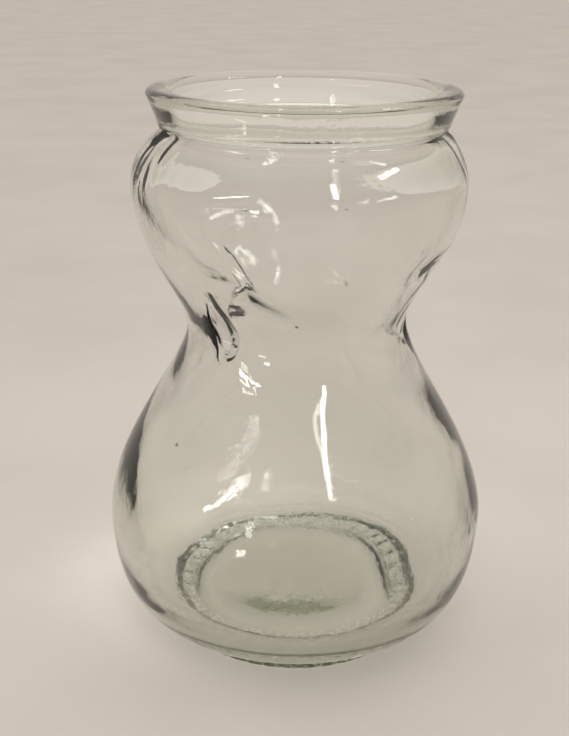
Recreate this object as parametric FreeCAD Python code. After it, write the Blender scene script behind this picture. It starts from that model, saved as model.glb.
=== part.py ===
import FreeCAD, Part
import math
import os

# Wasp trap: one clear glass vessel with an hourglass body, open at the top.
# Three entry pockets are pushed in through the waist, each a downward scoop above a level ledge.
# Millimetres, +Z up. The origin is the middle of the face that the vessel stands on.
# The glass is one moulding. It is written as its moulded zones, which meet face to face.

# outside heights, measured from the resting face or down from the rim
total_height = 170.0
lip_round = 1.6
collar_height = 8.8
collar_undercut = 1.9
groove_width = 1.3
upper_bulge_drop = 16.0
waist_height = 99.7
lower_bulge_height = 38.4
heel_height = 6.8

# outside radii
rim_radius = 45.5
collar_radius = 42.6
groove_radius = 40.9
upper_bulge_radius = 49.5
waist_radius = 33.7
lower_bulge_radius = 59.4
heel_overhang = 3.1
foot_radius = 40.5

# fullness of the round stretches, as shares of the run between one extreme and the next
heel_fullness = 0.70
lower_bulge_fullness_down = 0.54
lower_bulge_fullness_up = 0.35
waist_fullness_down = 0.20
waist_fullness_up = 0.21
upper_bulge_fullness_down = 0.42
upper_bulge_fullness_up = 0.38
shoulder_reach = 5.2
shoulder_drop = 2.9
bowl_fullness = 0.85

# glass thickness and mouth
lower_wall = 5.2
waist_wall = 3.0
upper_wall = 2.9
floor_thickness = 9.0
mouth_radius = 38.2
mouth_depth = 13.0
lip_width = 5.2
lip_bevel = 2.2

# underside
foot_round = 1.3
ring_width = 5.8
ring_step = 1.0
ring_slope = 2.0
dome_radius = 28.0
dome_rise = 0.8
inner_dome_rise = 5.5
knurl_count = 44
knurl_width = 1.1
knurl_depth = 0.4

# entry pockets: a bore that widens as it leans in and down through the wall, cut level at a ledge
pocket_azimuths = {"front": -40.0, "right": 80.0, "back": 221.0}
pocket_top_rise = 11.8
pocket_top_offset = 7.6
pocket_low_drop = 4.6
pocket_low_offset = 2.9
pocket_top_width = 6.6
pocket_low_width = 9.6
ledge_drop = 2.2
scoop_wall = 2.0
pocket_margin = 3.5

# how far the zone planes stand off the heel, the lower bulge, the upper bulge and the shoulder
heel_zone_rise = 9.0
lower_bulge_zone_rise = 2.0
upper_bulge_zone_drop = 2.0
collar_zone_drop = 0.4

# heights that follow from the sizes above
lip_height = total_height - lip_round
corner_height = total_height - collar_height
groove_top = corner_height - collar_undercut
shoulder_height = groove_top - groove_width
upper_bulge_height = shoulder_height - upper_bulge_drop
ledge_height = waist_height - ledge_drop
heel_radius = foot_radius + heel_overhang
ring_inside = foot_radius - ring_width
crest_radius = rim_radius - lip_width / 2

# zone planes: each zone runs from the plane before it up to its own
waist_zone_low = ledge_height - pocket_margin
waist_zone_high = waist_height + pocket_top_rise + pocket_top_width / 2 + pocket_margin / 2
lower_bulge_top = lower_bulge_height + lower_bulge_zone_rise
zone_tops = {
    "heel": heel_height + heel_zone_rise,
    "lower_bulge": lower_bulge_top,
    "lower_shoulder": (lower_bulge_top + waist_zone_low) / 2,
    "throat": waist_zone_low,
    "waist": waist_zone_high,
    "upper_flare": upper_bulge_height - upper_bulge_zone_drop,
    "upper_shoulder": shoulder_height - collar_zone_drop,
    "rim_collar": total_height,
}


def point(radius, height):
    """A point of a half outline, in the XZ plane."""
    return FreeCAD.Vector(radius, 0, height)


def straight(*points):
    """Straight edges from point to point."""
    pairs = zip(points[:-1], points[1:])
    return [Part.LineSegment(a, b).toShape() for a, b in pairs]


def curve(*poles):
    """One Bezier edge."""
    bezier = Part.BezierCurve()
    bezier.setPoles(list(poles))
    return [bezier.toShape()]


def upright_curve(low, high, low_share, high_share):
    """A curve that is upright at both ends and holds that direction for a share of its height."""
    rise = high.z - low.z
    return curve(
        low,
        low + point(0, rise * low_share),
        high - point(0, rise * high_share),
        high,
    )


def turned(edges):
    """The solid that a closed half outline makes about the Z axis."""
    face = Part.Face(Part.Wire(edges))
    return face.revolve(FreeCAD.Vector(0, 0, 0), FreeCAD.Vector(0, 0, 1), 360)


def body_curves(start, start_reach, lower_inset, waist_inset, upper_inset, end, end_reach):
    """The hourglass from the heel to the shoulder, moved in by a glass thickness at each extreme."""
    low = point(lower_bulge_radius - lower_inset, lower_bulge_height)
    waist = point(waist_radius - waist_inset, waist_height)
    high = point(upper_bulge_radius - upper_inset, upper_bulge_height)
    low_rise = low.z - heel_height
    top_rise = shoulder_height - high.z
    edges = curve(start, start + start_reach, low - point(0, low_rise * lower_bulge_fullness_down), low)
    edges += upright_curve(low, waist, lower_bulge_fullness_up, waist_fullness_down)
    edges += upright_curve(waist, high, waist_fullness_up, upper_bulge_fullness_down)
    edges += curve(high, high + point(0, top_rise * upper_bulge_fullness_up), end + end_reach, end)
    return edges


def envelope():
    """The outside of the glass as a full body, with no hollow."""
    foot_low = point(foot_radius - foot_round, 0)
    foot_side = point(foot_radius, foot_round)
    heel = point(heel_radius, heel_height)
    heel_reach = point((lower_bulge_radius - heel_radius) * heel_fullness, 0)
    shoulder = point(groove_radius, shoulder_height)
    groove_end = point(groove_radius, groove_top)
    corner = point(collar_radius, corner_height)
    lip = point(rim_radius, lip_height)
    crest = point(crest_radius, total_height)
    edges = straight(point(0, 0), foot_low)
    edges += curve(foot_low, point(foot_radius, 0), foot_side)
    edges += curve(foot_side, point(foot_radius, heel_height), heel)
    edges += body_curves(heel, heel_reach, 0, 0, 0, shoulder, point(shoulder_reach, -shoulder_drop))
    edges += straight(shoulder, groove_end)
    edges += curve(groove_end, point(collar_radius, groove_top), corner)
    edges += straight(corner, lip)
    edges += curve(lip, point(rim_radius, total_height), crest)
    edges += straight(crest, point(0, total_height), point(0, 0))
    return turned(edges)


def hollow():
    """The space inside the glass, carried past the mouth."""
    floor_top = floor_thickness + inner_dome_rise
    floor_middle = point(0, floor_top)
    floor_edge = point(dome_radius, floor_thickness)
    floor_reach = point(lower_bulge_radius - lower_wall - dome_radius, 0) * bowl_fullness
    neck_low = point(mouth_radius, total_height - mouth_depth)
    neck_high = point(mouth_radius, total_height - lip_bevel)
    crest = point(crest_radius, total_height)
    above = total_height + collar_height
    edges = curve(floor_middle, point(dome_radius / 2, floor_top), floor_edge)
    edges += body_curves(
        floor_edge, floor_reach,
        lower_wall, waist_wall, upper_wall,
        neck_low, point(0, -shoulder_drop),
    )
    edges += straight(neck_low, neck_high)
    edges += curve(neck_high, point(mouth_radius, total_height), crest)
    edges += straight(crest, point(crest_radius, above), point(0, above), floor_middle)
    return turned(edges)


def underside():
    """The hollow under the foot: a stepped ring and a shallow dome."""
    step = point(ring_inside - ring_slope, ring_step)
    dome_edge = point(dome_radius, ring_step + ring_slope / 2)
    dome_top = point(0, ring_step + dome_rise)
    edges = straight(point(0, -1), point(ring_inside, -1), point(ring_inside, 0), step, dome_edge)
    edges += curve(dome_edge, point(dome_radius / 2, dome_top.z), dome_top)
    edges += straight(dome_top, point(0, -1))
    return turned(edges)


def knurls():
    """Radial grooves across the face of the foot ring."""
    bar = Part.makeBox(ring_width * 2, knurl_width, knurl_depth * 2)
    bar.translate(FreeCAD.Vector(ring_inside - ring_slope, -knurl_width / 2, -knurl_depth))
    return Part.makeCompound([around(bar, 360.0 * index / knurl_count) for index in range(knurl_count)])


def slab(low, high):
    """A thick disc that holds one zone of the glass."""
    disc = Part.makeCylinder(lower_bulge_radius * 2, high - low)
    disc.translate(FreeCAD.Vector(0, 0, low))
    return disc


def leaning_bore(extra):
    """A pocket's cone in the XZ plane, grown all round by extra and cut level at the ledge."""
    top = point(waist_radius + pocket_top_offset, waist_height + pocket_top_rise)
    low = point(waist_radius - pocket_low_offset, waist_height - pocket_low_drop)
    lean = low - top
    length = lean.Length
    spread = (pocket_low_width - pocket_top_width) / 2 / length
    whole = length + pocket_low_width
    narrow = pocket_top_width / 2 + extra
    wide = narrow + spread * whole
    cone = Part.makeCone(narrow, wide, whole, top, lean)
    return cone.common(slab(ledge_height, total_height))


def around(shape, azimuth):
    """A copy turned to an azimuth that is counted from -Y towards +X."""
    copy = shape.copy()
    copy.rotate(FreeCAD.Vector(0, 0, 0), FreeCAD.Vector(0, 0, 1), azimuth - 90.0)
    return copy


def write(name, shape):
    """One zone of the glass, as one STEP file."""
    solids = shape.Solids
    if not solids:
        raise RuntimeError(name + " is empty")
    keep = solids[0] if len(solids) == 1 else Part.makeCompound(solids)
    keep.exportStep("parts/" + name + ".step")
    print(name, len(solids), round(shape.Volume), shape.isValid())


os.makedirs("parts", exist_ok=True)

space = hollow()
glass = envelope().cut(space).cut(underside()).cut(knurls())

pocket = leaning_bore(0)
scoop = leaning_bore(scoop_wall).cut(pocket).common(space)
for name, azimuth in pocket_azimuths.items():
    glass = glass.cut(around(pocket, azimuth))
    write("entry_scoop_" + name, around(scoop, azimuth))

floor_core = Part.makeCylinder(ring_inside, zone_tops["heel"])
foot_slab = slab(0, heel_height).cut(floor_core)
write("foot_ring", glass.common(foot_slab))
write("floor", glass.common(floor_core))
glass = glass.cut(foot_slab).cut(floor_core)

low = 0
for name, top in zone_tops.items():
    write(name, glass.common(slab(low, top)))
    low = top
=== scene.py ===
import math
import bpy
import numpy as np
from mathutils import Matrix, Quaternion, Vector


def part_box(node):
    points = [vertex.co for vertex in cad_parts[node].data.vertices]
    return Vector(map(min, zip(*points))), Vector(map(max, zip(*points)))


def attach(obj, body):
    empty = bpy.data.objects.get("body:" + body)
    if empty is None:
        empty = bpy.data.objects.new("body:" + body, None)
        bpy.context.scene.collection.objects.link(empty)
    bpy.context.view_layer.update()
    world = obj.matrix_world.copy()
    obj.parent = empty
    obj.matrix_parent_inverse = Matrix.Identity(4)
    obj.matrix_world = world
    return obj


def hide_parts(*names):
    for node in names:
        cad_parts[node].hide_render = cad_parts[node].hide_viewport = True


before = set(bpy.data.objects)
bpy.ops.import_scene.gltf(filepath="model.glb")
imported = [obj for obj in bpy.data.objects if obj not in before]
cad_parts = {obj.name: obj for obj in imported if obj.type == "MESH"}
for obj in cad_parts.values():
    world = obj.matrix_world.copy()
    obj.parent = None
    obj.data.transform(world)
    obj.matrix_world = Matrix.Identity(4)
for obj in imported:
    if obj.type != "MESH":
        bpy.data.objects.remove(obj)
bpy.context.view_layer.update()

mm = 0.001
print("frame loaded", len(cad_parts), "nodes")

# camera: in front of the vessel, a little above it, so the base is seen through the glass
cameraView = {
    "distance": 0.3293,      # from the axis, on the ground plan
    "height": 0.2081,
    "down": 20.73,           # degrees below the horizon
    "turn": 0.655,           # degrees to the left, which sets the vessel right of the middle
    "roll": 0.54,
    "lens": 54.87,
    "sensor": 36.0,
    "clip": (0.01, 30.0),
}


def makeCamera(view):
    # straight ahead along +Y, turned about the upright, tilted down, then rolled about the line of sight
    data = bpy.data.cameras.new("camera")
    data.lens = view["lens"]
    data.sensor_width = view["sensor"]
    data.clip_start, data.clip_end = view["clip"]
    cam = bpy.data.objects.new("camera", data)
    bpy.context.scene.collection.objects.link(cam)
    turn = Matrix.Rotation(math.radians(view["turn"]), 3, "Z")
    tilt = Matrix.Rotation(math.radians(90.0 - view["down"]), 3, "X")
    roll = Matrix.Rotation(math.radians(view["roll"]), 3, "Z")
    cam.rotation_euler = (turn @ tilt @ roll).to_euler()
    cam.location = (0.0, -view["distance"], view["height"])
    bpy.context.scene.camera = cam


makeCamera(cameraView)

# the vessel's outline, in millimetres, with the overall sizes taken from the frame
shape = {
    "height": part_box("rim_collar")[1].z / mm,
    "lowerRadius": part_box("lower_bulge")[1].x / mm,
    "upperRadius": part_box("upper_shoulder")[1].x / mm,
    "rimRadius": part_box("rim_collar")[1].x / mm,
    "heelHeight": 6.8,
    "lowerHeight": 38.4,
    "waistHeight": 99.7,
    "upperHeight": 142.0,
    "shoulderHeight": 158.0,
    "grooveTop": 159.3,
    "collarCorner": 161.2,
    "lipHeight": 168.4,
    "footRadius": 40.5,
    "heelRadius": 43.6,
    "waistRadius": 33.7,
    "grooveRadius": 40.9,
    "collarRadius": 42.6,
    "mouthRadius": 38.2,
    "crestRadius": 42.9,
    "lipBevel": 2.2,
    "mouthDepth": 13.0,
    "shoulderReach": 5.2,
    "shoulderDrop": 2.9,
    "lowerWall": 5.2,
    "waistWall": 3.0,
    "upperWall": 2.9,
    "floor": 9.0,
    "floorRise": 5.5,
    "bowlFullness": 0.85,
    "heelFullness": 0.70,
    "lowerFullness": (0.54, 0.35),       # shares of the run that each bulge and the waist stay upright for,
    "waistFullness": (0.20, 0.21),       # below it and above it
    "upperFullness": (0.42, 0.38),
    "footRound": 1.3,
    "ringWidth": 5.8,
    "ringStep": 1.0,
    "ringSlope": 2.0,
    "ringEase": 0.6,
    "domeRadius": 28.0,
    "domeRise": 0.8,
    "knurls": 44,
    "columnsPerKnurl": 7,
}


def bezierPoints(poles, count):
    # a curve of three or four poles: each pole weighted by its Bernstein share, without the last point
    t = np.linspace(0.0, 1.0, count + 1)[:-1, None]
    p = np.array(poles, float)
    if len(p) == 3:
        return (1 - t) ** 2 * p[0] + 2 * t * (1 - t) * p[1] + t ** 2 * p[2]
    return (1 - t) ** 3 * p[0] + 3 * t * (1 - t) ** 2 * p[1] + 3 * t ** 2 * (1 - t) * p[2] + t ** 3 * p[3]


def linePoints(a, b, count):
    # even steps from a to b, without b
    t = np.linspace(0.0, 1.0, count + 1)[:-1, None]
    return (1 - t) * np.array(a, float) + t * np.array(b, float)


def uprightPoles(low, high, lowShare, highShare):
    # four poles of a curve that is upright at both ends, each for a share of the rise
    rise = high[1] - low[1]
    return [low, (low[0], low[1] + rise * lowShare), (high[0], high[1] - rise * highShare), high]


def bodySpans(s, start, reach, walls, end, endReach, counts):
    # the hourglass: four cubic spans, upright at the two bulges and at the waist
    low = (s["lowerRadius"] - walls[0], s["lowerHeight"])
    waist = (s["waistRadius"] - walls[1], s["waistHeight"])
    high = (s["upperRadius"] - walls[2], s["upperHeight"])
    lowRise = low[1] - s["heelHeight"]
    topRise = s["shoulderHeight"] - high[1]
    lower, middle, upper = s["lowerFullness"], s["waistFullness"], s["upperFullness"]
    spans = [
        [start, (start[0] + reach, start[1]), (low[0], low[1] - lowRise * lower[0]), low],
        uprightPoles(low, waist, lower[1], middle[0]),
        uprightPoles(waist, high, middle[1], upper[0]),
        [high, (high[0], high[1] + topRise * upper[1]), (end[0] + endReach, end[1] - s["shoulderDrop"]), end],
    ]
    return [bezierPoints(poles, count) for poles, count in zip(spans, counts)]


# how many points each stretch of the outline gets, from the underside's middle to the floor's middle
rowCounts = {
    "dome": 10,
    "slope": 2,
    "ringEdge": 4,
    "ring": 5,
    "footRound": 4,
    "heel": 5,
    "outerBody": (18, 38, 38, 16),
    "groove": 2,
    "collar": 5,
    "rim": 6,
    "lip": 7,
    "bevel": 7,
    "bore": 6,
    "innerBody": (16, 34, 36, 12),
    "floor": 8,
}


def outlineRows(s):
    # radius and height from the underside's middle, out, up, over the lip, and down to the floor's middle
    ringInside = s["footRadius"] - s["ringWidth"]
    ease = s["ringEase"]
    n = rowCounts
    domeTop = (0.0, s["ringStep"] + s["domeRise"])
    domeEdge = (s["domeRadius"], s["ringStep"] + s["ringSlope"] / 2)
    step = (ringInside - s["ringSlope"], s["ringStep"])
    footLow = (s["footRadius"] - s["footRound"], 0.0)
    foot = (s["footRadius"], s["footRound"])
    heel = (s["heelRadius"], s["heelHeight"])
    shoulder = (s["grooveRadius"], s["shoulderHeight"])
    groove = (s["grooveRadius"], s["grooveTop"])
    corner = (s["collarRadius"], s["collarCorner"])
    lip = (s["rimRadius"], s["lipHeight"])
    crest = (s["crestRadius"], s["height"])
    bore = (s["mouthRadius"], s["height"] - s["lipBevel"])
    neck = (s["mouthRadius"], s["height"] - s["mouthDepth"])
    floorEdge = (s["domeRadius"], s["floor"])
    floorTop = (0.0, s["floor"] + s["floorRise"])
    outer = [
        bezierPoints([domeTop, (domeEdge[0] / 2, domeTop[1]), domeEdge], n["dome"]),
        linePoints(domeEdge, step, n["slope"]),
        bezierPoints([step, (ringInside - ease, 0.0), (ringInside + ease, 0.0)], n["ringEdge"]),
        linePoints((ringInside + ease, 0.0), footLow, n["ring"]),
        bezierPoints([footLow, (foot[0], 0.0), foot], n["footRound"]),
        bezierPoints([foot, (foot[0], heel[1]), heel], n["heel"]),
    ]
    heelReach = (s["lowerRadius"] - s["heelRadius"]) * s["heelFullness"]
    outer += bodySpans(s, heel, heelReach, (0, 0, 0), shoulder, s["shoulderReach"], n["outerBody"])
    outer += [
        linePoints(shoulder, groove, n["groove"]),
        bezierPoints([groove, (corner[0], groove[1]), corner], n["collar"]),
        linePoints(corner, lip, n["rim"]),
        bezierPoints([lip, (lip[0], s["height"]), crest], n["lip"]),
    ]
    mouth = [
        bezierPoints([crest, (bore[0], s["height"]), bore], n["bevel"]),
        linePoints(bore, neck, n["bore"]),
    ]
    walls = (s["lowerWall"], s["waistWall"], s["upperWall"])
    floorReach = (s["lowerRadius"] - s["lowerWall"] - s["domeRadius"]) * s["bowlFullness"]
    inner = bodySpans(s, floorEdge, floorReach, walls, neck, 0.0, n["innerBody"])
    innerDown = np.concatenate([*inner, np.array([neck])])[::-1][:-1]
    floor = [
        bezierPoints([floorEdge, (floorEdge[0] / 2, floorTop[1]), floorTop], n["floor"]),
        np.array([floorTop]),
    ]
    return np.concatenate(outer), np.concatenate([*mouth, innerDown, *floor])


# how hand work and the mould leave the glass uneven: sizes in millimetres, angles in degrees from the front
unevenness = {
    "seed": 7,
    "waves": 14,
    "waveTurns": (1, 9),                 # whole waves round the vessel, from the first up to before the second
    "outerWave": 0.10,
    "innerWave": 0.22,
    "waveFrom": (34.0, 6.0),             # the height where the waves come in, and how softly
    "waveTo": (154.0, 1.5),
    "waveLength": (22.0, 75.0),
    "rimShift": 1.2,
    "rimShiftFrom": (155.0, 1.6),
    "dentRise": 14.0,
    "dentWidth": 11.0,
    "dentHeight": 9.0,
    "foldFrom": (0.35, 0.09),            # shares of a ridge's length where it comes in, and how softly
    "foldTo": (2.0, 1.5),                # distance from its end where it fades, and how softly
    "foldTaper": (1.6, 0.9),
    "foldOuter": 0.3,                    # how far the outer wall sinks along it
}

# the three entry pockets: turn about the axis, size, how far the wall sinks round each, and the ridge
# of thick glass that ran beside it while soft, from one end to the other in along-wall and height
pockets = [
    {"azimuth": -40.0, "width": 0.80, "lift": 0.5, "dent": 0.7,
     "foldFrom": (-13.0, 32.0), "foldTo": (24.0, 10.5), "foldThick": 1.1, "foldWide": 3.8},
    {"azimuth": 80.0, "width": 1.0, "lift": 0.0, "dent": 2.3,
     "foldFrom": (-27.0, 21.0), "foldTo": (4.0, 27.0), "foldThick": 0.9, "foldWide": 2.0},
    {"azimuth": 221.0, "width": 0.95, "lift": 0.5, "dent": 1.0,
     "foldFrom": (-15.0, 24.0), "foldTo": (14.0, 16.0), "foldThick": 0.7, "foldWide": 2.6},
]

# beads that the mould's closing lines left under the collar: turn, height, half width, half height, how far each
# stands out, and how far the faint line that runs down from it does
beadLine = {"wide": 0.9, "drop": 3.0, "length": 12.0, "top": 1.0}
beads = [
    {"azimuth": -71.0, "height": 157.6, "wide": 2.6, "tall": 1.9, "proud": 1.7, "line": 0.30},
    {"azimuth": 83.0, "height": 157.8, "wide": 2.2, "tall": 1.6, "proud": 0.8, "line": 0.22},
]

# a cockled patch of the inner wall under the left bead
cockle = {"azimuth": -60.0, "height": 151.0, "wide": 9.0, "tall": 5.5, "depth": 0.16, "waves": 9, "seed": 11,
          "waveLength": (3.5, 8.0)}


def beadRise(angle, radius, height):
    # each bead is a bell, and its line a narrow bell round the wall that fades towards the upper bulge
    total = 0.0
    for bead in beads:
        along = localTurn(bead["azimuth"], angle) * radius
        up = height - bead["height"]
        total = total + bead["proud"] * bump(along, bead["wide"]) * bump(up, bead["tall"])
        fade = bump(np.minimum(up + beadLine["drop"], 0.0), beadLine["length"]) * (up < beadLine["top"])
        total = total + bead["line"] * bump(along, beadLine["wide"]) * fade
    return total


def cockleRise(c, angle, radius, height):
    # a sum of short cosines that run every way, inside a bell
    along = localTurn(c["azimuth"], angle) * radius
    up = height - c["height"]
    rng = np.random.default_rng(c["seed"])
    pattern = 0.0
    for heading in rng.uniform(0, np.pi, c["waves"]):
        turns = 2 * np.pi / rng.uniform(*c["waveLength"])
        phase = rng.uniform(0, 2 * np.pi)
        pattern = pattern + np.cos(turns * (along * np.cos(heading) + up * np.sin(heading)) + phase)
    return c["depth"] * pattern / np.sqrt(c["waves"] / 2) * bump(along, c["wide"]) * bump(up, c["tall"])


def localTurn(azimuth, angle):
    # the signed turn from an azimuth in degrees, in radians
    return (angle - math.radians(azimuth) + np.pi) % (2 * np.pi) - np.pi


def wavePattern(u, angle, height, offset):
    # a sum of slow cosines round and up the wall, between about -1 and 1
    rng = np.random.default_rng(u["seed"] + offset)
    total = np.zeros(np.broadcast(angle, height).shape)
    for turns in rng.integers(*u["waveTurns"], u["waves"]):
        length = rng.uniform(*u["waveLength"])
        phase = rng.uniform(0, 2 * np.pi)
        total += np.cos(turns * angle + 2 * np.pi * height / length + phase) / np.sqrt(u["waves"])
    return total


def bump(x, width):
    # a bell of height 1: e to the minus square of x over the width
    return np.exp(-((x / width) ** 2))


def rising(x, start, soft):
    # an S-shaped step from 0 to 1 about start: one over one plus e to the minus distance
    return 1 / (1 + np.exp(-(x - start) / soft))


def localPlace(pocket, angle, radius, height):
    # distance along the wall from a pocket's middle, and height above the waist
    return localTurn(pocket["azimuth"], angle) * radius, height - shape["waistHeight"]


def foldDepth(pocket, along, rise):
    # a ridge that follows the straight line from foldFrom to foldTo and fades at its ends
    u = unevenness
    start, end = np.array(pocket["foldFrom"]), np.array(pocket["foldTo"])
    run = end - start
    length = np.hypot(*run)
    run = run / length
    t = (along - start[0]) * run[0] + (rise - start[1]) * run[1]
    across = (rise - start[1]) * run[0] - (along - start[0]) * run[1]
    (come, comeSoft), (gap, goneSoft) = u["foldFrom"], u["foldTo"]
    ends = rising(t, length * come, length * comeSoft) * rising(-t, gap - length, goneSoft)
    wide = pocket["foldWide"] * (u["foldTaper"][0] - u["foldTaper"][1] * np.clip(t / length, 0, 1))
    return bump(across, wide) * ends


def unevenRadius(radius, angle, height, inside):
    # the wall's radius plus its slow waves and the beads or the cockle, less each pocket's dent and ridge
    u = unevenness
    (waveEnd, endSoft) = u["waveTo"]
    body = rising(height, *u["waveFrom"]) * rising(-height, -waveEnd, endSoft)
    size = u["innerWave"] if inside else u["outerWave"]
    out = radius + size * body * wavePattern(u, angle, height, 1 if inside else 0)
    if inside:
        out = out + cockleRise(cockle, angle, radius, height)
    else:
        out = out + beadRise(angle, radius, height)
    for pocket in pockets:
        along, rise = localPlace(pocket, angle, radius, height)
        dent = bump(along, u["dentWidth"]) * bump(rise - u["dentRise"] - pocket["lift"], u["dentHeight"])
        fold = foldDepth(pocket, along, rise)
        out = out - pocket["dent"] * dent
        out = out - (pocket["foldThick"] if inside else u["foldOuter"]) * fold
    return out


# one pocket's skin as loops, from the outer wall in through the slot, round the scoop's lip and back to the
# inner wall. each loop: half width, rise at its sides, top and bottom, radius at its sides, top and bottom,
# and whether it lies on a wall
pocketLoops = [
    (5.8, 4.2, 15.8, -6.6, 0.0, 0.0, -0.3, "outer"),
    (4.4, 4.6, 13.6, -4.0, -0.9, -0.8, -1.3, "outer"),
    (3.9, 3.4, 8.6, -2.9, 32.3, 34.4, 31.9, ""),
    (3.9, 1.4, 2.6, -2.6, 31.0, 30.6, 31.3, ""),
    (4.1, 0.0, -0.8, -2.9, 30.4, 29.2, 31.1, ""),
    (5.0, -0.6, -1.7, -3.9, 30.0, 28.2, 30.7, ""),
    (6.0, 0.6, -0.9, -5.0, 29.9, 27.2, 30.5, ""),
    (6.6, 3.6, 4.0, -6.2, 30.6, 28.0, 0.0, "base"),
    (7.4, 5.6, 11.0, -7.2, 0.0, 32.4, 0.0, "sides"),
    (8.6, 6.4, 18.0, -8.4, 0.0, 0.0, 0.0, "inner"),
]
loopSteps = 4


def splineLoops(keys, steps):
    # a Catmull-Rom curve through every key loop, point by point, without its first and last loop
    padded = np.concatenate([2 * keys[:1] - keys[1:2], keys, 2 * keys[-1:] - keys[-2:-1]])
    rows = []
    for i in range(1, len(keys)):
        a, b, c, d = padded[i - 1], padded[i], padded[i + 1], padded[i + 2]
        for t in np.arange(steps) / steps:
            rows.append(0.5 * (2 * b + (c - a) * t + (2 * a - 5 * b + 4 * c - d) * t ** 2
                               + (3 * b - a - 3 * c + d) * t ** 3))
    return np.array(rows[1:])


# the cut marks round the foot: their depths and how uneven they are
knurlMarks = {
    "depth": 0.38,
    "width": 1.5,
    "uneven": 0.5,
    "seed": 3,
    "inset": 0.2,                        # how far the marks stop short of the ring's edges
    "endSoft": 0.25,
    "topSoft": 0.3,
}


def knurlRise(s, radius, height, inside):
    # each mark lifts the underside by a bell across its columns, over the ring's flat width
    rng = np.random.default_rng(knurlMarks["seed"])
    per = s["columnsPerKnurl"]
    column = np.arange(s["knurls"] * per)
    mark = bump(column % per - per // 2, knurlMarks["width"] / 2)
    deep = 1 + knurlMarks["uneven"] * rng.uniform(-1, 1, s["knurls"])[column // per]
    middle = s["footRadius"] - s["ringWidth"] / 2
    reach = s["ringWidth"] / 2 - knurlMarks["inset"]
    across = rising(-abs(radius - middle), -reach, knurlMarks["endSoft"])
    low = rising(-height, -s["footRound"], knurlMarks["topSoft"])
    return np.where(inside, 0.0, knurlMarks["depth"] * mark * deep * across * low)


# the patch of grid that each pocket's skin takes the place of, as distances from the waist, and how a slot
# narrows towards its top and widens with height
pocketPatch = {
    "halfWidth": 11.5,
    "below": 9.5,
    "above": 21.0,
    "innerBelow": 11.0,
    "taper": 0.28,
    "widening": 0.25,
}


def gridPoints(s, rows, split, columns):
    # every outline row at every column, made uneven on both sides of the wall: radius, angle and height
    angle = np.linspace(0.0, 2 * np.pi, columns, endpoint=False)[None, :]
    inside = np.arange(len(rows))[:, None] >= split
    base = rows[:, 0][:, None] + 0 * angle
    height = rows[:, 1][:, None] + 0 * angle
    radius = np.where(inside, unevenRadius(base, angle, height, True), unevenRadius(base, angle, height, False))
    marked = height + knurlRise(s, radius, height, inside)
    return np.stack([radius, angle + 0 * height, marked], axis=-1).reshape(-1, 3)


def wallRadius(s, rows, angle, height, inside):
    # one side of the wall at any angle and height between the bulges: the outline between its rows, made uneven
    band = rows[(rows[:, 1] > s["lowerHeight"]) & (rows[:, 1] < s["upperHeight"])]
    band = band[np.argsort(band[:, 1])]
    return unevenRadius(np.interp(height, band[:, 1], band[:, 0]), angle, height, inside)


def nearestRow(rows, choice, height):
    # the row, out of a choice of rows, that lies nearest to a height
    return choice[np.argmin(abs(rows[choice, 1] - height))]


def pocketBorder(s, pocket, rows, split, columns):
    # the patch of grid round a pocket on both sides of the wall, and its border point by point as a column
    # and a count of rows up: along the bottom, up the right, back along the top and down the left
    p = pocketPatch
    perTurn = columns / (2 * np.pi)
    half = int(round(p["halfWidth"] / s["waistRadius"] * perTurn))
    middle = int(round(math.radians(pocket["azimuth"]) * perTurn))
    left, right = middle - half, middle + half
    outRows = np.arange(split)[rows[:split, 1] > s["heelHeight"]]
    low = nearestRow(rows, outRows, s["waistHeight"] - p["below"])
    high = nearestRow(rows, outRows, s["waistHeight"] + p["above"])
    innerLow = nearestRow(rows, np.arange(split, len(rows)), s["waistHeight"] - p["innerBelow"])
    wide, tall = right - left, high - low
    cols = np.array([*range(left, right), *[right] * tall, *range(right, left, -1), *[left] * tall])
    ups = np.array([*[0] * wide, *range(tall), *[tall] * wide, *range(tall, 0, -1)])
    heading = np.arctan2(2.0 * ups / tall - 1, 2.0 * (cols - left) / wide - 1)
    spans = ((low, high), (innerLow - tall, innerLow))
    return {"columns": cols, "ups": ups, "heading": heading, "low": low, "innerLow": innerLow,
            "gapColumns": np.arange(left, right) % columns, "gapRows": spans}


def pocketKeys(s, pocket, heading, outer, inner):
    # each key loop is an oval that is flattened at the bottom: rise and radius run from the side's value
    # to the top's or the bottom's with the sine of the heading, and the width with its cosine
    up = np.sin(heading)
    above, below = np.clip(up, 0, 1) ** 2, np.clip(-up, 0, 1) ** 2
    keys = []
    for wide, sideRise, topRise, lowRise, sideR, topR, lowR, wall in pocketLoops:
        rise = np.where(up > 0, sideRise + (topRise - sideRise) * up, sideRise + (sideRise - lowRise) * up)
        rise = rise + pocket["lift"]
        z = s["waistHeight"] + rise
        sway = wide * pocket["width"] * np.cos(heading) * (1 - pocketPatch["taper"] * above)
        a = math.radians(pocket["azimuth"]) + sway / (s["waistRadius"] + pocketPatch["widening"] * rise)
        r = sideR + (topR - sideR) * above + (lowR - sideR) * below
        if wall == "outer":
            r = wallRadius(s, outer, a, z, False) + r
        elif wall == "inner":
            r = wallRadius(s, inner, a, z, True)
        elif wall == "sides":
            r = wallRadius(s, inner, a, z, True) * (1 - above) + topR * above
        elif wall == "base":
            r = wallRadius(s, inner, a, z, True) * below + (sideR + (topR - sideR) * above) * (1 - below)
        keys.append(np.stack([r, a, z], axis=-1))
    return keys


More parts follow.
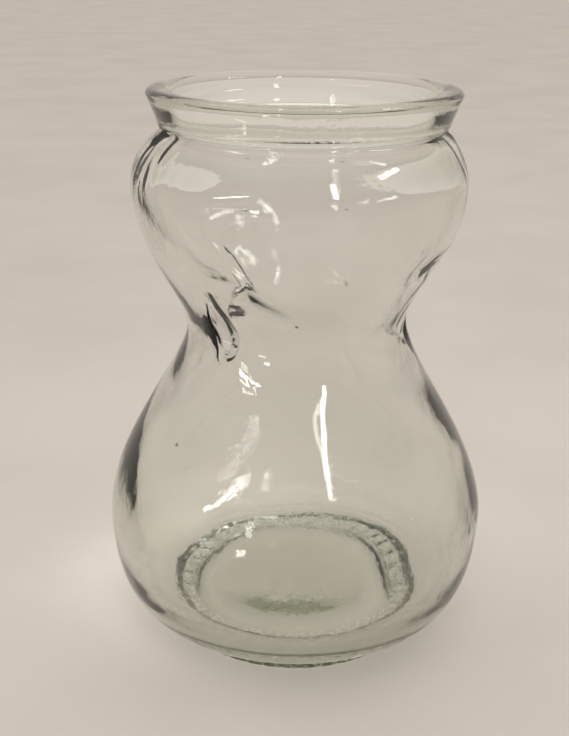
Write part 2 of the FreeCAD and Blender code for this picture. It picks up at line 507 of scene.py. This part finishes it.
def makeGlass(s):
    # the outline turned about the axis as a grid, with each pocket's skin joining the two sides of the wall
    # through a gap in it, a fan of triangles at each pole, and the rim moved off the axis
    outer, inner = outlineRows(s)
    rows = np.concatenate([outer, inner])[1:-1]
    split = len(outer) - 1
    columns = s["knurls"] * s["columnsPerKnurl"]
    grid = gridPoints(s, rows, split, columns)
    index = np.arange(len(grid)).reshape(len(rows), columns)
    right = np.roll(index, -1, axis=1)
    quads = np.stack([index[:-1], right[:-1], right[1:], index[1:]], axis=-1)
    keep = np.ones(quads.shape[:2], bool)
    points, faces, count = [grid], [], len(grid)
    for pocket in pockets:
        border = pocketBorder(s, pocket, rows, split, columns)
        for start, end in border["gapRows"]:
            keep[start:end, border["gapColumns"]] = False
        place = border["columns"] % columns
        outLoop = index[border["low"] + border["ups"], place]
        inLoop = index[border["innerLow"] - border["ups"], place]
        ends = [grid[outLoop], grid[inLoop]]
        for end in ends:
            end[:, 1] = border["columns"] * 2 * np.pi / columns
        keys = pocketKeys(s, pocket, border["heading"], rows[:split], rows[split:])
        loops = splineLoops(np.array([ends[0], *keys, ends[1]]), loopSteps)
        points.append(loops.reshape(-1, 3))
        number = count + np.arange(len(points[-1])).reshape(loops.shape[:2])
        ring = np.concatenate([outLoop[None], number, inLoop[None]])
        turn = np.roll(ring, -1, axis=1)
        faces.append(np.stack([ring[:-1], turn[:-1], turn[1:], ring[1:]], axis=-1).reshape(-1, 4))
        count += len(points[-1])
    radius, angle, height = np.concatenate(points).T
    verts = np.stack([radius * np.sin(angle), -radius * np.cos(angle), height], axis=-1)
    verts[:, 0] += unevenness["rimShift"] * rising(height, *unevenness["rimShiftFrom"])
    verts = np.concatenate([verts, [[0, 0, outer[0, 1]], [0, 0, inner[-1, 1]]]])
    first = np.stack([np.full(columns, count), right[0], index[0]], axis=-1)
    last = np.stack([index[-1], right[-1], np.full(columns, count + 1)], axis=-1)
    walls = np.concatenate([quads[keep], *faces])
    used = np.zeros(len(verts), bool)
    used[walls] = used[first] = used[last] = True
    number = np.cumsum(used) - 1         # each kept point's new place in the list
    everyFace = [*number[walls].tolist(), *number[first].tolist(), *number[last].tolist()]
    return makePiece("glassVessel", verts[used] * mm, everyFace)


def makePiece(name, verts, faces):
    # points in metres and their faces as one smooth-shaded object at the origin
    mesh = bpy.data.meshes.new(name)
    mesh.from_pydata(verts.tolist(), [], faces)
    mesh.polygons.foreach_set("use_smooth", [True] * len(mesh.polygons))
    mesh.update()
    piece = bpy.data.objects.new(name, mesh)
    bpy.context.scene.collection.objects.link(piece)
    return piece


glass = makeGlass(shape)
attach(glass, "root")
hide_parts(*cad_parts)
glass.visible_shadow = False
print("glass", len(glass.data.polygons), "faces")


class Shade:
    # one output of a node, so that a line of shader maths reads as plain arithmetic
    def __init__(self, tree, socket=None):
        self.tree, self.socket = tree, socket

    def node(self, kind, settings=None, inputs=None, out=0):
        # a new node with its settings, its inputs linked or set, and one of its outputs
        made = self.tree.nodes.new(kind)
        for name, value in (settings or {}).items():
            if name == "stops":
                marks = made.color_ramp.elements
                while len(marks) < len(value):
                    marks.new(0.5)
                for mark, (at, color) in zip(marks, value):
                    mark.position, mark.color = at, color
            else:
                setattr(made, name, value)
        for name, value in (inputs or {}).items():
            if isinstance(value, Shade):
                self.tree.links.new(value.socket, made.inputs[name])
            else:
                made.inputs[name].default_value = value
        return Shade(self.tree, made.outputs[out])

    def maths(self, operation, first, second):
        return self.node("ShaderNodeMath", {"operation": operation}, {0: first, 1: second})

    def __add__(self, other):
        return self.maths("ADD", self, other)

    def __sub__(self, other):
        return self.maths("SUBTRACT", self, other)

    def __rsub__(self, other):
        return self.maths("SUBTRACT", other, self)

    def __mul__(self, other):
        return self.maths("MULTIPLY", self, other)

    __radd__, __rmul__ = __add__, __mul__

    def step(self, start, end):
        # a smooth step from 0 at start to 1 at end
        settings = {"interpolation_type": "SMOOTHSTEP"}
        return self.node("ShaderNodeMapRange", settings, {"Value": self, "From Min": start, "From Max": end})

    def noise(self, scale, detail=2.0, rough=0.5):
        # noise between 0 and 1 at this place
        inputs = {"Vector": self, "Scale": scale, "Detail": detail, "Roughness": rough}
        return self.node("ShaderNodeTexNoise", {}, inputs, "Fac")

    def near(self, place, size):
        # 1 at a place, falling smoothly to 0 at a distance of size from it
        gap = self.node("ShaderNodeVectorMath", {"operation": "DISTANCE"}, {0: self, 1: place}, "Value")
        return 1 - gap.step(0.0, size)

    def mix(self, first, second):
        # the first colour where this mask is 0, the second where it is 1
        return self.node("ShaderNodeMix", {"data_type": "RGBA"}, {0: self, 6: first, 7: second}, 2)


# clear glass: its green tint grows with depth and is made deeper than the glass's own as painted shade, standing
# in for the shadow it doesn't cast; dried bait, specks, smears and scuffs lie on its skin
glassFinish = {
    "ior": 1.5,
    # the depth tint and density: the glass's own green, deepened into painted shade for the shadow the glass
    # doesn't cast
    "tintAndPaintedShade": (0.66, 0.69, 0.58, 1.0),
    "density": 58.0,
    "ripple": (70.0, 420.0),             # waves per metre of the slow and the fine ripple
    "rippleHeight": 0.00022,
    "rippleShares": (0.8, 0.06, 0.16),   # slow ripple, fine ripple everywhere, fine ripple in patches
    "patches": (30.0, 0.42, 0.66),       # scale, and the noise values where the patches start and are full
    "clear": (1.0, 1.0, 1.0, 1.0),
    "residue": (0.62, 0.47, 0.30, 1.0),
    "residueStrength": 0.55,
    "residueFaint": 0.6,                 # the second patch against the first
    "broken": (260.0, 0.50, 0.66),
    "residuePlaces": [((0.0440, -0.0090, 0.147), 0.021), ((-0.048, -0.028, 0.042), 0.018)],
    "speck": (0.10, 0.07, 0.045, 1.0),
    "speckCells": 62.0,
    "speckSize": 0.055,
    "speckPick": (0.86, 0.88),           # only cells whose random value is above this hold a speck
    "smear": 0.07,
    "smearWide": (18.0, 0.50, 0.72),
    "smearFine": (150.0, 0.35, 0.75),
    "scuff": 0.35,
    "scuffGrain": (500.0, 0.40, 0.60),
    "scuffHeight": 0.0012,
}


def makeGlassMaterial(g):
    # one clear shader: ripple in its surface, dirt in its colour, smears in its roughness, green tint and
    # painted shade in its depth
    mat = bpy.data.materials.new("clearGlass")
    mat.use_nodes = True
    tree = mat.node_tree
    shader = tree.nodes["Principled BSDF"]
    shader.inputs["IOR"].default_value = g["ior"]
    shader.inputs["Transmission Weight"].default_value = 1.0
    place = Shade(tree).node("ShaderNodeTexCoord", out="Object")

    # ripple left by the mould and by fire polishing, stronger in patches
    patches = place.noise(g["patches"][0]).step(*g["patches"][1:])
    slowShare, fineShare, patchShare = g["rippleShares"]
    slow = place.noise(g["ripple"][0], 1.0)
    fine = place.noise(g["ripple"][1], 3.0, 0.6)
    ripple = slow * slowShare + fine * (fineShare + patchShare * patches)
    relief = {"Height": ripple, "Strength": 1.0, "Distance": g["rippleHeight"]}
    bumped = place.node("ShaderNodeBump", {}, relief)
    tree.links.new(bumped.socket, shader.inputs["Normal"])

    # dried bait in two patches, broken up by noise
    broken = place.noise(g["broken"][0], 4.0, 0.7).step(*g["broken"][1:])
    (first, firstSize), (second, secondSize) = g["residuePlaces"]
    stain = (place.near(first, firstSize) + place.near(second, secondSize) * g["residueFaint"]) * broken

    # a few dark specks: the middles of some cells
    cells = {"Vector": place, "Scale": g["speckCells"]}
    middle = place.node("ShaderNodeTexVoronoi", {}, cells, "Distance")
    pick = place.node("ShaderNodeTexVoronoi", {}, cells, "Color")
    chosen = pick.node("ShaderNodeSeparateColor", {}, {"Color": pick}, "Red").step(*g["speckPick"])
    specks = (1 - middle.step(g["speckSize"] * 0.5, g["speckSize"])) * chosen
    stained = (stain * g["residueStrength"]).mix(g["clear"], g["residue"])
    tree.links.new(specks.mix(stained, g["speck"]).socket, shader.inputs["Base Color"])

    # faint smears everywhere, and scuffs where the ring stands
    (wide, *wideSteps), (narrow, *narrowSteps) = g["smearWide"], g["smearFine"]
    smear = place.noise(wide, 3.0).step(*wideSteps) * place.noise(narrow, 2.0).step(*narrowSteps)
    up = place.node("ShaderNodeSeparateXYZ", {}, {0: place}, "Z")
    grain, *grainSteps = g["scuffGrain"]
    scuffs = (1 - up.step(0.0, g["scuffHeight"])) * place.noise(grain, 2.0).step(*grainSteps)
    rough = smear * g["smear"] + scuffs * g["scuff"]
    tree.links.new(rough.socket, shader.inputs["Roughness"])

    # the depth tint is partly the glass's own green and partly painted shade: its density darkens the thick base
    # and walls in place of the shadow the glass doesn't cast
    absorb = tree.nodes.new("ShaderNodeVolumeAbsorption")
    absorb.inputs["Color"].default_value = g["tintAndPaintedShade"]
    absorb.inputs["Density"].default_value = g["density"]
    tree.links.new(absorb.outputs[0], tree.nodes["Material Output"].inputs["Volume"])
    return mat


glass.data.materials.append(makeGlassMaterial(glassFinish))
print("glass finish")

# pale card under the vessel: slow blotches and a fine tooth
card = {
    "color": (0.604, 0.560, 0.535, 1.0),
    "shade": (0.568, 0.526, 0.500, 1.0),
    "rough": 0.85,
    "half": 6.0,                         # half its width, in metres
    "below": 0.0002,                     # how far it lies under the resting face
    "sheen": 0.1,
    "blotch": (9.0, 0.35, 0.70),
    "roughNoise": (60.0, 0.1),
    "tooth": (900.0, 0.15, 0.0002),      # scale, strength and depth
}


def makeFloor(c):
    # one square just under the resting face
    half, z = c["half"], -c["below"]
    verts = np.array([[-half, -half, z], [half, -half, z], [half, half, z], [-half, half, z]])
    floor = makePiece("floorSheet", verts, [[0, 1, 2, 3]])
    mat = bpy.data.materials.new("paleCard")
    mat.use_nodes = True
    tree = mat.node_tree
    shader = tree.nodes["Principled BSDF"]
    shader.inputs["Specular IOR Level"].default_value = c["sheen"]
    place = Shade(tree).node("ShaderNodeTexCoord", out="Object")
    blotch = place.noise(c["blotch"][0], 3.0).step(*c["blotch"][1:])
    tree.links.new(blotch.mix(c["color"], c["shade"]).socket, shader.inputs["Base Color"])
    noiseScale, noiseShare = c["roughNoise"]
    rough = place.noise(noiseScale) * noiseShare + c["rough"]
    tree.links.new(rough.socket, shader.inputs["Roughness"])
    scale, strength, depth = c["tooth"]
    tooth = {"Height": place.noise(scale), "Strength": strength, "Distance": depth}
    tree.links.new(place.node("ShaderNodeBump", {}, tooth).socket, shader.inputs["Normal"])
    floor.data.materials.append(mat)


makeFloor(card)
print("card")

# the room as a ramp of brightness from the horizon to straight overhead
room = {
    "stops": [
        (0.0, (0.555, 0.500, 0.452, 1.0)),
        (0.12, (0.533, 0.480, 0.432, 1.0)),
        (0.35, (0.440, 0.400, 0.355, 1.0)),
        (0.70, (0.560, 0.530, 0.480, 1.0)),
        (0.86, (0.880, 0.850, 0.790, 1.0)),
        (1.0, (0.980, 0.950, 0.890, 1.0)),
    ],
    "strength": 1.36,
}


def makeWorld(r):
    # the upward share of each direction looks up a colour on the ramp
    world = bpy.data.worlds.new("studio")
    bpy.context.scene.world = world
    world.use_nodes = True
    tree = world.node_tree
    look = Shade(tree).node("ShaderNodeTexCoord", out="Generated")
    up = look.node("ShaderNodeSeparateXYZ", {}, {0: look}, "Z")
    ramp = up.node("ShaderNodeValToRGB", {"stops": r["stops"]}, {0: up})
    tree.links.new(ramp.socket, tree.nodes["Background"].inputs["Color"])
    tree.nodes["Background"].inputs["Strength"].default_value = r["strength"]


# soft boxes that show as streaks in the glass: compass and height angles in degrees seen from the vessel,
# distance and size in metres, turn about the line of sight in degrees
softBoxes = {
    "tallRight": {"turn": 25, "rise": 32, "away": 1.3, "size": (0.07, 0.42), "roll": 0, "watts": 2.0},
    "stripLeft": {"turn": -46, "rise": 20, "away": 1.3, "size": (0.52, 0.025), "roll": 25, "watts": 1.0},
    "windowRight": {"turn": 72, "rise": 39, "away": 1.3, "size": (0.42, 0.10), "roll": 10, "watts": 2.4},
    "lowLeft": {"turn": -28, "rise": 3, "away": 1.4, "size": (0.12, 0.12), "roll": 0, "watts": 0.8},
}
lampCentre = 0.09        # the height of the vessel's middle
lampColor = (1.0, 0.98, 0.95)


def makeSoftBox(name, box):
    # a lamp on a sphere round the vessel's middle, facing it: the direction comes from its turn and rise
    turn, rise = math.radians(box["turn"]), math.radians(box["rise"])
    out = Vector((math.sin(turn) * math.cos(rise), -math.cos(turn) * math.cos(rise), math.sin(rise)))
    data = bpy.data.lights.new(name, "AREA")
    data.shape = "RECTANGLE"
    data.size, data.size_y = box["size"]
    data.energy = box["watts"]
    data.color = lampColor
    lamp = bpy.data.objects.new(name, data)
    bpy.context.scene.collection.objects.link(lamp)
    lamp.location = out * box["away"] + Vector((0, 0, lampCentre))
    face = out.to_track_quat("Z", "Y") @ Quaternion((0, 0, 1), math.radians(box["roll"]))
    lamp.rotation_euler = face.to_euler()


makeWorld(room)
for name, box in softBoxes.items():
    makeSoftBox(name, box)
print("light", len(softBoxes), "soft boxes")
bounces = 24             # light crosses many skins of glass before it leaves the vessel
bpy.context.scene.cycles.max_bounces = bounces
bpy.context.scene.cycles.transmission_bounces = bounces
bpy.context.scene.view_settings.view_transform = "Standard"
